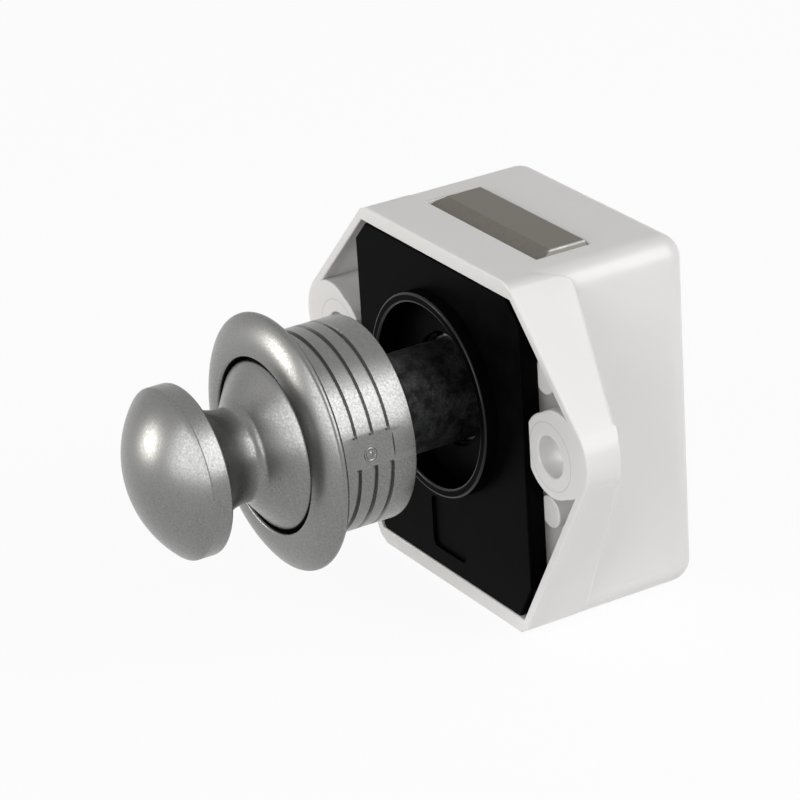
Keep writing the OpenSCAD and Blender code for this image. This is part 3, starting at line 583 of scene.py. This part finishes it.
def turningValues(look, material, segments):
    last = look["firstGroove"] + (look["grooveCount"] - 1) * look["groovePitch"]
    halfWidth = look["grooveWidth"] / 2
    return {"Segments": segments, "Barrel Radius": look["barrelRadius"] * mm,
            "Groove Count": look["grooveCount"],
            "First Groove": look["firstGroove"] * mm, "Groove Pitch": look["groovePitch"] * mm,
            "Groove Width": look["grooveWidth"] * mm, "Groove Depth": look["grooveDepth"] * mm,
            "Pad Width": look["padWidth"] * mm, "Pad Turn": math.radians(look["padTurn"]),
            "Seam Turn": math.radians(look["seamTurn"]), "Seam Height": look["seamHeight"] * mm,
            "Pad Start": (look["firstGroove"] - halfWidth - look["padBefore"]) * mm,
            "Pad End": (last + halfWidth + look["padAfter"]) * mm, "Finish": material}


rosetteMesh = grow("turned_rosette", lineMesh("rosetteLine", rosetteProfile(rosetteLook)), turning,
                   turningValues(rosetteLook, finish["satin_chrome"], 420))
rosetteMesh.set_sharp_from_angle(angle=math.radians(42))
addPiece("turned_rosette", rosetteMesh, "rosette_ring", "rosette")

# the gate's scar on the flat pad: a ring with the broken sprue in its middle (radius, height in mm)
scarLook = {"turn": rosetteLook["padTurn"], "y": -17.87, "aside": -0.5, "out": 12.83, "line": (
    (0.0, 0.1), (0.14, 0.15), (0.27, 0.12), (0.36, 0.0), (0.44, -0.03), (0.56, -0.03), (0.64, 0.08),
    (0.74, 0.12), (0.86, 0.09), (0.93, 0.0), (0.95, -0.2), (0.0, -0.2))}
# a turned piece without a barrel: nothing lies at this radius, so nothing is cut
plainLook = dict(rosetteLook, grooveDepth=0.0, seamHeight=0.0, barrelRadius=90.0)
scar = grow("gate_scar", lineMesh("scarLine", scarLook["line"]), turning,
            turningValues(plainLook, finish["satin_chrome"], 40))
padTurn = math.radians(scarLook["turn"])
outward = Vector((math.cos(padTurn), 0, math.sin(padTurn)))
along = Vector((-math.sin(padTurn), 0, math.cos(padTurn)))
stand = Matrix((along, outward, Vector((0, 1, 0)))).transposed().to_4x4()
onBarrel = outward * scarLook["out"] + along * scarLook["aside"]
stand.translation = (onBarrel + Vector((0, scarLook["y"], 0))) * mm
scar.transform(stand)
scar.set_sharp_from_angle(angle=math.radians(50))
addPiece("gate_scar", scar, "rosette_ring", "rosette")
print("rosette turned with", rosetteLook["grooveCount"], "grooves,", len(rosetteMesh.polygons), "faces")

# the knob: domed head, straight band, waist and flared skirt (radius, y in mm)
knobLook = {"apex": -43.2, "domeHeight": 4.8, "headRadius": 10.8, "band": 2.7, "edgeRound": 0.3,
            "backRound": 0.45, "poleGap": 0.8, "domeShare": 0.975, "neckRadius": 5.95, "waistLength": 5.95,
            "waistWidening": 4.6, "waistTurn": 80, "flareRound": 1.6, "cone": 53.0, "skirtRadius": 10.7,
            "skirtFront": -25.2, "skirtBand": 1.0, "skirtEdge": 0.22, "skirtWall": 1.2, "backBevel": 0.1,
            "cavityRadius": 6.8, "cavityDepth": 1.9, "boreRadius": 3.65, "boreLength": 8.8}


def knobProfile(look):
    apex, rise, head = look["apex"], look["domeHeight"], look["headRadius"]
    ball = (head ** 2 + rise ** 2) / (2 * rise)
    reach = math.degrees(math.asin(head / ball))
    base = apex + rise
    back = base + look["band"]
    front, rear = look["edgeRound"], look["backRound"]
    dome = [(0.0, apex)]
    dome += arcPoints(0.0, apex + ball, ball, look["poleGap"] - 90, reach * look["domeShare"] - 90, 30)
    shoulder = arcPoints(head - front, base + front * 0.55, front, -50, 0, 5)
    headBack = arcPoints(head - rear, back - rear, rear, 0, 90, 6)
    neck, length, widening = look["neckRadius"], look["waistLength"], look["waistWidening"]
    waistY = back + length
    turns = [math.radians(look["waistTurn"] * (1 - i / 20)) for i in range(20)]
    waist = [(neck + widening * (1 - math.cos(a)), waistY - length * math.sin(a)) for a in turns]
    flare = arcPoints(neck + look["flareRound"], waistY, look["flareRound"], 180, 180 - look["cone"], 10)
    # the skirt's cone runs straight to a small round at its rim
    skirt, skirtFront, edge = look["skirtRadius"], look["skirtFront"], look["skirtEdge"]
    start, rim = Vector(flare[-1]), Vector((skirt, skirtFront))
    lean = (rim - start).normalized()
    cone = [tuple(start.lerp(rim - lean * edge, i / 8)) for i in range(1, 9)]
    cone += [tuple(rim - lean * edge * 0.35 + Vector((-0.03, 0.03)))]
    skirtBack, inner = skirtFront + look["skirtBand"], skirt - look["skirtWall"]
    bevel, bore = look["backBevel"], look["boreRadius"]
    floor = skirtFront - look["cavityDepth"]
    boreEnd = floor - look["boreLength"]
    return (dome + shoulder + headBack + waist + flare + cone
            + [(skirt, skirtFront + edge * 0.7), (skirt, skirtBack - bevel), (skirt - bevel, skirtBack),
               (inner, skirtBack), (inner, skirtFront + 0.4), (look["cavityRadius"], floor), (bore, floor),
               (bore, boreEnd), (0.0, boreEnd)])


knobMesh = grow("turned_knob", lineMesh("knobLine", knobProfile(knobLook)), turning,
                turningValues(plainLook, finish["satin_chrome"], 200))
knobMesh.set_sharp_from_angle(angle=math.radians(42))
addPiece("turned_knob", knobMesh, "push_rod", "knob")
print("knob turned,", len(knobMesh.polygons), "faces")


# a wire spring whose end turns lie closer than its middle ones; Start only takes the modifier's own mesh
def makeSpringTree():
    tree = bpy.data.node_groups.new("wound spring", "GeometryNodeTree")
    for name, kind, value in (
            ("Start", "NodeSocketGeometry", None), ("Mean Radius", "NodeSocketFloat", 0.004),
            ("Wire Radius", "NodeSocketFloat", 0.0004), ("Length", "NodeSocketFloat", 0.015),
            ("Turns", "NodeSocketFloat", 6.0), ("Close Ends", "NodeSocketFloat", 0.5),
            ("Place", "NodeSocketVector", None), ("Lie Along Y", "NodeSocketFloat", 0.0),
            ("Finish", "NodeSocketMaterial", None)):
        addInput(tree, name, kind, value)
    tree.interface.new_socket("Geometry", in_out="OUTPUT", socket_type="NodeSocketGeometry")
    given = addNode(tree, "NodeGroupInput").outputs
    known = {socket.name: socket for socket in given if socket.name}
    known["share"] = addNode(tree, "GeometryNodeSplineParameter").outputs["Factor"]
    position = addNode(tree, "GeometryNodeInputPosition").outputs[0]
    spot = addNode(tree, "ShaderNodeSeparateXYZ", None, {0: position}).outputs
    windingRule = (
        ("wire", "MULTIPLY", "Wire Radius", 2.0), ("run", "SUBTRACT", "Length", "wire"),
        ("once", "MULTIPLY", "share", 2 * math.pi), ("wave", "SINE", "once"),
        ("pull", "DIVIDE", "Close Ends", 2 * math.pi), ("eased", "MULTIPLY", "wave", "pull"),
        ("along", "SUBTRACT", "share", "eased"), ("height", "MULTIPLY_ADD", "along", "run", "Wire Radius"))
    for result, operation, *terms in windingRule:
        known[result] = addNode(tree, "ShaderNodeMath", {"operation": operation},
                                {i: known.get(term, term) for i, term in enumerate(terms)}).outputs[0]
    helix = addNode(tree, "GeometryNodeCurveSpiral", None, {
        "Resolution": 40, "Rotations": given["Turns"], "Start Radius": given["Mean Radius"],
        "End Radius": given["Mean Radius"], "Height": known["run"]}).outputs[0]
    place = addNode(tree, "ShaderNodeCombineXYZ", None,
                    {0: spot[0], 1: spot[1], 2: known["height"]}).outputs[0]
    wound = addNode(tree, "GeometryNodeSetPosition", None, {"Geometry": helix, "Position": place}).outputs[0]
    ring = addNode(tree, "GeometryNodeCurvePrimitiveCircle", {"mode": "RADIUS"},
                   {"Resolution": 12, "Radius": given["Wire Radius"]}).outputs["Curve"]
    wire = addNode(tree, "GeometryNodeCurveToMesh", None,
                   {"Curve": wound, "Profile Curve": ring, "Fill Caps": True}).outputs[0]
    tilt = addNode(tree, "ShaderNodeCombineXYZ", None, {0: given["Lie Along Y"]}).outputs[0]
    seated = addNode(tree, "GeometryNodeTransform", None,
                     {"Geometry": wire, "Translation": given["Place"], "Rotation": tilt}).outputs[0]
    real = addNode(tree, "GeometryNodeRealizeInstances", None, {"Geometry": seated}).outputs[0]
    done = addNode(tree, "GeometryNodeSetMaterial", None,
                   {"Geometry": real, "Material": given["Finish"]}).outputs[0]
    addNode(tree, "NodeGroupOutput", None, {"Geometry": done})
    return tree


winding = makeSpringTree()
boltSpring = {"meanRadius": 1.67, "wireRadius": 0.25, "turns": 10.0, "closeEnds": 0.4}
springLook = {"return_spring": {"meanRadius": 4.3, "wireRadius": 0.45, "turns": 6.0, "closeEnds": 0.55},
              "bolt_spring_left": boltSpring, "bolt_spring_right": boltSpring}
for source, look in springLook.items():
    low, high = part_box(source)
    middle = (low + high) / 2
    flat = source == "return_spring"   # this one lies along the spindle, and its rear end stands on the cover
    length = high.y - low.y if flat else high.z - low.z
    place = (middle.x, high.y, middle.z) if flat else (middle.x, middle.y, low.z)
    mesh = grow(source + "_wire", bpy.data.meshes.new("springStart"), winding,
                {"Mean Radius": look["meanRadius"] * mm, "Wire Radius": look["wireRadius"] * mm,
                 "Length": length, "Turns": look["turns"], "Close Ends": look["closeEnds"], "Place": place,
                 "Lie Along Y": math.pi / 2 if flat else 0.0, "Finish": finish["spring_steel"]})
    if flat:
        coil = addPiece("return_coil", mesh, "lock_body", source)
        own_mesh(coil)
    else:
        coil = bpy.data.objects.new("bolt_coil_" + source.rsplit("_", 1)[1], mesh)
        scene.collection.objects.link(coil)
        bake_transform(coil)
        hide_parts(source)
print("springs wound")


# 1 for the rays that should meet the bright surround itself: camera, mirror and glass rays
def addSeenRays(tree):
    rays = addNode(tree, "ShaderNodeLightPath").outputs
    direct = addNode(tree, "ShaderNodeMath", {"operation": "MAXIMUM"},
                     {0: rays["Is Camera Ray"], 1: rays["Is Glossy Ray"]}).outputs[0]
    return addNode(tree, "ShaderNodeMath", {"operation": "MAXIMUM"},
                   {0: direct, 1: rays["Is Transmission Ray"]}).outputs[0]


# pale floor that keeps a soft shadow; the rays above see it nearly white (half its side in metres, and how
# far it lies below the lock in mm)
studioFloor = {"colour": "#F4F4F4", "share": 0.93, "half": 3.0, "below": 0.05}


def makeFloor(look):
    level, half = cadBox[0].z - look["below"] * mm, look["half"]
    corners = [(-half, -half, level), (half, -half, level), (half, half, level), (-half, half, level)]
    mesh = bpy.data.meshes.new("paleFloor")
    mesh.from_pydata(corners, [], [(0, 1, 2, 3)])
    floor = bpy.data.objects.new("paleFloor", mesh)
    scene.collection.objects.link(floor)
    material = bpy.data.materials.new("pale studio floor")
    material.use_nodes = True
    tree = material.node_tree
    tree.nodes.clear()
    share = addNode(tree, "ShaderNodeMath", {"operation": "MULTIPLY"},
                    {0: addSeenRays(tree), 1: look["share"]}).outputs[0]
    matt = addNode(tree, "ShaderNodeBsdfDiffuse", None, {"Color": linear(look["colour"])}).outputs[0]
    glow = addNode(tree, "ShaderNodeEmission", None, {"Color": (1, 1, 1, 1), "Strength": 1.0}).outputs[0]
    mixed = addNode(tree, "ShaderNodeMixShader", None, {0: share, 1: matt, 2: glow}).outputs[0]
    addNode(tree, "ShaderNodeOutputMaterial", None, {"Surface": mixed})
    mesh.materials.append(material)


makeFloor(studioFloor)

# each lamp: name, direction, distance and width in metres, power in watts, colour; all point at aim (mm)
studioLight = {"sky": 0.2, "skySeen": 0.85, "aim": (0, -9, -2),
               "lamps": (("bigRightRear", (0.718, 0.484, 0.5), 0.8, 0.6, 4.0, "#FFFFFF"),
                         ("highRear", (0.42, 0.44, 0.79), 0.8, 0.36, 0.5, "#FFFFFF"),
                         ("frontLeft", (-0.611, -0.782, 0.13), 0.8, 0.22, 1.7, "#FFFBF4"),
                         ("frontFill", (0.3, -0.92, 0.2), 0.9, 0.9, 7.2, "#FFFFFF"))}
aim = Vector(studioLight["aim"]) * mm
for name, way, distance, width, power, tint in studioLight["lamps"]:
    lamp = bpy.data.objects.new(name, bpy.data.lights.new(name, "AREA"))
    scene.collection.objects.link(lamp)
    lamp.data.shape = "SQUARE"
    lamp.data.size = width
    lamp.data.energy = power
    lamp.data.color = linear(tint)[:3]
    lamp.location = aim + Vector(way).normalized() * distance
    lamp.rotation_euler = Vector(way).to_track_quat("Z", "Y").to_euler()

world = bpy.data.worlds.new("studio surround")
scene.world = world
world.use_nodes = True
tree = world.node_tree
tree.nodes.clear()
sky, skySeen = studioLight["sky"], studioLight["skySeen"]
strength = addNode(tree, "ShaderNodeMath", {"operation": "MULTIPLY_ADD"},
                   {0: addSeenRays(tree), 1: skySeen - sky, 2: sky}).outputs[0]
surround = addNode(tree, "ShaderNodeBackground", None,
                   {"Color": (1, 1, 1, 1), "Strength": strength}).outputs[0]
addNode(tree, "ShaderNodeOutputWorld", None, {"Surface": surround})
print("floor, lamps and surround set")
